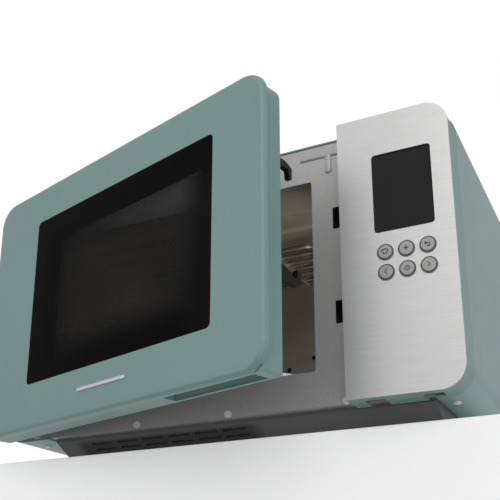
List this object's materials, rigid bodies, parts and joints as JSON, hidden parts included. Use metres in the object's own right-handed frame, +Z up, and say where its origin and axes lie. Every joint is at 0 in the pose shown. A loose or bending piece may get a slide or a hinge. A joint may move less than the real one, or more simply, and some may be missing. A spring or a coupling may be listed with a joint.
{
  "type": "microwave oven",
  "caption": "Countertop microwave oven with side-hung glass door, steel control plate, turntable, grill and convection fan.",
  "frame": {"origin": "on the worktop, under the centre of the painted wrap", "axes": "+Z up, -Y towards the front, +X towards the control side"},
  "size_m": [0.4932, 0.4805, 0.284],
  "materials": {
    "teal_paint": "satin",
    "steel_sheet": "satin",
    "cavity_steel": "satin",
    "control_steel": "brushed",
    "dark_plastic": "matte",
    "black_plastic": "satin",
    "foot_rubber": "matte",
    "galvanised": "satin",
    "pale_plastic": "matte",
    "ceramic": "matte",
    "clear_glass": "polished",
    "lamp_glass": "polished",
    "door_glass": "polished",
    "display_glass": "polished",
    "door_paint": "satin",
    "screen_steel": "matte",
    "core_steel": "matte",
    "copper": "satin",
    "aluminium": "satin",
    "element_steel": "matte",
    "board_green": "satin",
    "button_grey": "satin",
    "ring_grey": "satin",
    "trim_metal": "polished"
  },
  "bodies": {
    "oven_body": {"outer_wrap": "teal_paint", "front_plate": "steel_sheet", "base_plate": "galvanised", "base_tray": "dark_plastic", "rubber_feet": "foot_rubber", "rear_panel": "galvanised", "rear_cover": "galvanised", "cavity_liner": "cavity_steel", "turntable_motor": "galvanised", "waveguide": "galvanised", "waveguide_cover": "ceramic", "magnetron_frame": "galvanised", "magnetron_fins": "aluminium", "magnetron_core": "copper", "transformer_core": "core_steel", "transformer_coils": "copper", "capacitor": "aluminium", "capacitor_strap": "galvanised", "diode": "black_plastic", "fan_shroud": "pale_plastic", "fan_motor": "core_steel", "oven_lamp": "lamp_glass", "thermal_cutouts": "ceramic", "grill_element": "element_steel", "grill_brackets": "steel_sheet", "convection_chamber": "galvanised", "convection_element": "element_steel", "convection_motor": "core_steel", "filter_board": "board_green", "cord_gland": "black_plastic", "interlock_bracket": "dark_plastic", "interlock_switches": "black_plastic", "control_housing": "door_paint", "control_plate": "control_steel", "display_window": "display_glass", "control_board": "board_green", "button_rings": "ring_grey", "hinge_brackets": "galvanised", "screws": "galvanised"},
    "turntable": {"turntable_coupler": "pale_plastic", "turntable_glass": "clear_glass"},
    "roller_ring": {"roller_ring": "black_plastic"},
    "cooling_fan": {"fan_blade": "pale_plastic"},
    "convection_fan": {"convection_blade": "aluminium"},
    "door": {"door_glass": "door_glass", "door_frame": "door_paint", "door_screen": "screen_steel", "door_inner_glass": "clear_glass", "door_choke_cover": "dark_plastic", "door_hinge_bushes": "pale_plastic", "door_trim": "trim_metal"},
    "upper_latch": {"upper_hook": "black_plastic"},
    "lower_latch": {"lower_hook": "black_plastic"},
    "key_menu": {"button_menu": "button_grey"},
    "key_plus": {"button_plus": "button_grey"},
    "key_back": {"button_back": "button_grey"},
    "key_down": {"button_down": "button_grey"},
    "key_power": {"button_power": "button_grey"},
    "key_up": {"button_up": "button_grey"}
  },
  "joints": [
    {"name": "door_hinge", "type": "hinge", "parent": "oven_body", "child": "door", "pos_m": [-0.236, -0.1554, 0], "axis": [0, 0, -1], "range_deg": [-16.6, 73.4]},
    {"name": "upper_latch_pivot", "type": "hinge", "parent": "door", "child": "upper_latch", "pos_m": [0.11782, -0.25316, 0.205], "axis": [0.9583, -0.2857, 0], "range_deg": [0, 8], "stiffness_Nm_per_rad": 0.6, "springref_deg": -2.86},
    {"name": "lower_latch_pivot", "type": "hinge", "parent": "door", "child": "lower_latch", "pos_m": [0.11782, -0.25316, 0.105], "axis": [-0.9583, 0.2857, 0], "range_deg": [0, 8], "stiffness_Nm_per_rad": 0.6, "springref_deg": -2.86},
    {"name": "turntable_spin", "type": "hinge", "parent": "oven_body", "child": "turntable", "pos_m": [-0.0425, -0.00215, 0.053], "axis": [0, 0, 1], "continuous": true},
    {"name": "roller_ring_spin", "type": "hinge", "parent": "oven_body", "child": "roller_ring", "pos_m": [-0.0425, -0.00215, 0.053], "axis": [0, 0, 1], "continuous": true},
    {"name": "cooling_fan_spin", "type": "hinge", "parent": "oven_body", "child": "cooling_fan", "pos_m": [0.18145, 0.111, 0.0767], "axis": [0, 1, 0], "continuous": true},
    {"name": "convection_fan_spin", "type": "hinge", "parent": "oven_body", "child": "convection_fan", "pos_m": [-0.0425, 0.136, 0.11], "axis": [0, 1, 0], "continuous": true},
    {"name": "press_menu", "type": "slide", "parent": "oven_body", "child": "key_menu", "axis": [0, 1, 0], "range_m": [0, 0.001], "stiffness_N_per_m": 300, "springref_m": -0.001},
    {"name": "press_plus", "type": "slide", "parent": "oven_body", "child": "key_plus", "axis": [0, 1, 0], "range_m": [0, 0.001], "stiffness_N_per_m": 300, "springref_m": -0.001},
    {"name": "press_back", "type": "slide", "parent": "oven_body", "child": "key_back", "axis": [0, 1, 0], "range_m": [0, 0.001], "stiffness_N_per_m": 300, "springref_m": -0.001},
    {"name": "press_down", "type": "slide", "parent": "oven_body", "child": "key_down", "axis": [0, 1, 0], "range_m": [0, 0.001], "stiffness_N_per_m": 300, "springref_m": -0.001},
    {"name": "press_power", "type": "slide", "parent": "oven_body", "child": "key_power", "axis": [0, 1, 0], "range_m": [0, 0.001], "stiffness_N_per_m": 300, "springref_m": -0.001},
    {"name": "press_up", "type": "slide", "parent": "oven_body", "child": "key_up", "axis": [0, 1, 0], "range_m": [0, 0.001], "stiffness_N_per_m": 300, "springref_m": -0.001}
  ],
  "couplings": [
    {"joint": "roller_ring_spin", "follows": "turntable_spin", "ratio": 0.5}
  ]
}
